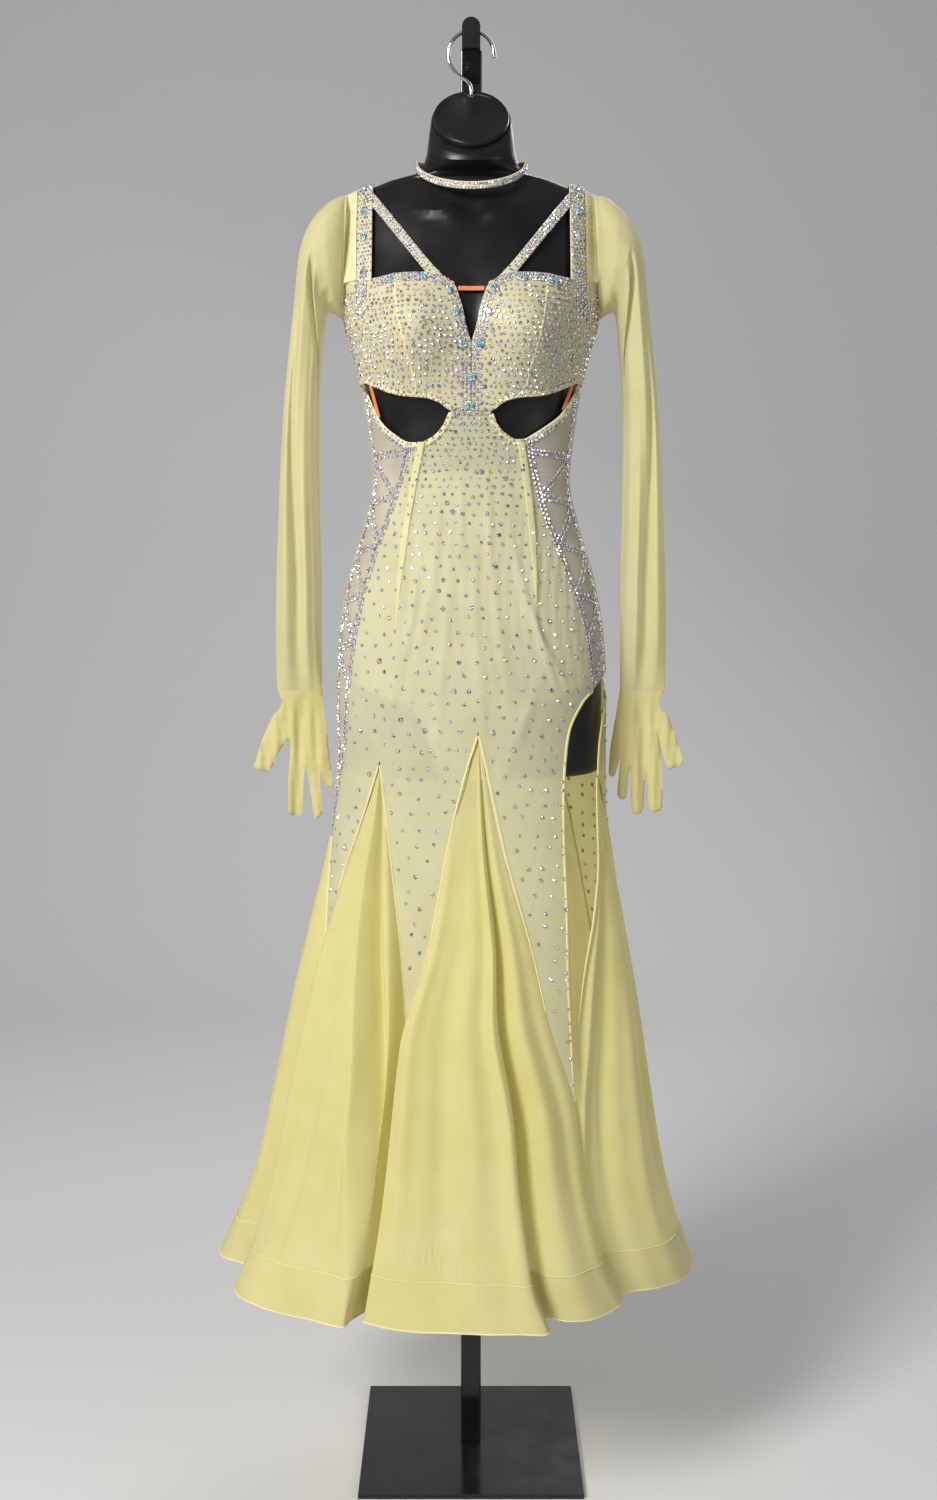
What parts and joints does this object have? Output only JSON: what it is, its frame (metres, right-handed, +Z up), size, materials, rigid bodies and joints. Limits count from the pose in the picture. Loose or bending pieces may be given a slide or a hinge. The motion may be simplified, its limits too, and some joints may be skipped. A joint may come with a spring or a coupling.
{
  "type": "ballroom dance dress on dress form stand",
  "caption": "Long-sleeved ballroom dance dress with cutout bodice and flared godet skirt on a limbless form hung from a stand",
  "frame": {"origin": "centre of the base plate's underside", "axes": "+Z up, the front of the dress faces -Y, +X to the viewer's right"},
  "size_m": [0.5755, 0.5213, 1.718],
  "materials": {
    "chiffon": "sheer lemon yellow chiffon",
    "stoned_mesh": "stretch mesh set with small crystals",
    "side_mesh": "nude stretch net",
    "sleeve_mesh": "sheer lemon stretch mesh",
    "stoned_trim": "closely set crystals on yellow cloth",
    "elastic": "salmon elastic",
    "form_plastic": "satin black moulded plastic",
    "stand_paint": "gloss black powder coat",
    "chrome": "bright chrome wire"
  },
  "bodies": {
    "root": {"base_plate": "stand_paint", "pole": "stand_paint", "arm": "stand_paint", "form_torso": "form_plastic", "form_cap": "form_plastic", "hook": "chrome", "front_godet": "chiffon", "left_front_godet": "chiffon", "left_side_godet": "chiffon", "left_back_godet": "chiffon", "back_godet": "chiffon", "right_back_godet": "chiffon", "right_side_godet": "chiffon", "front_body": "stoned_mesh", "back_body": "stoned_mesh", "left_inner_cup": "stoned_mesh", "left_outer_cup": "stoned_mesh", "right_inner_cup": "stoned_mesh", "right_outer_cup": "stoned_mesh", "left_side_mesh": "side_mesh", "right_side_mesh": "side_mesh", "left_shoulder_strap": "stoned_trim", "right_shoulder_strap": "stoned_trim", "left_neck_strap": "stoned_trim", "right_neck_strap": "stoned_trim", "choker": "stoned_trim", "left_elastic": "elastic", "right_elastic": "elastic", "notch_elastic": "elastic", "left_sleeve": "sleeve_mesh", "right_sleeve": "sleeve_mesh", "left_hand": "sleeve_mesh", "right_hand": "sleeve_mesh"}
  },
  "joints": []
}
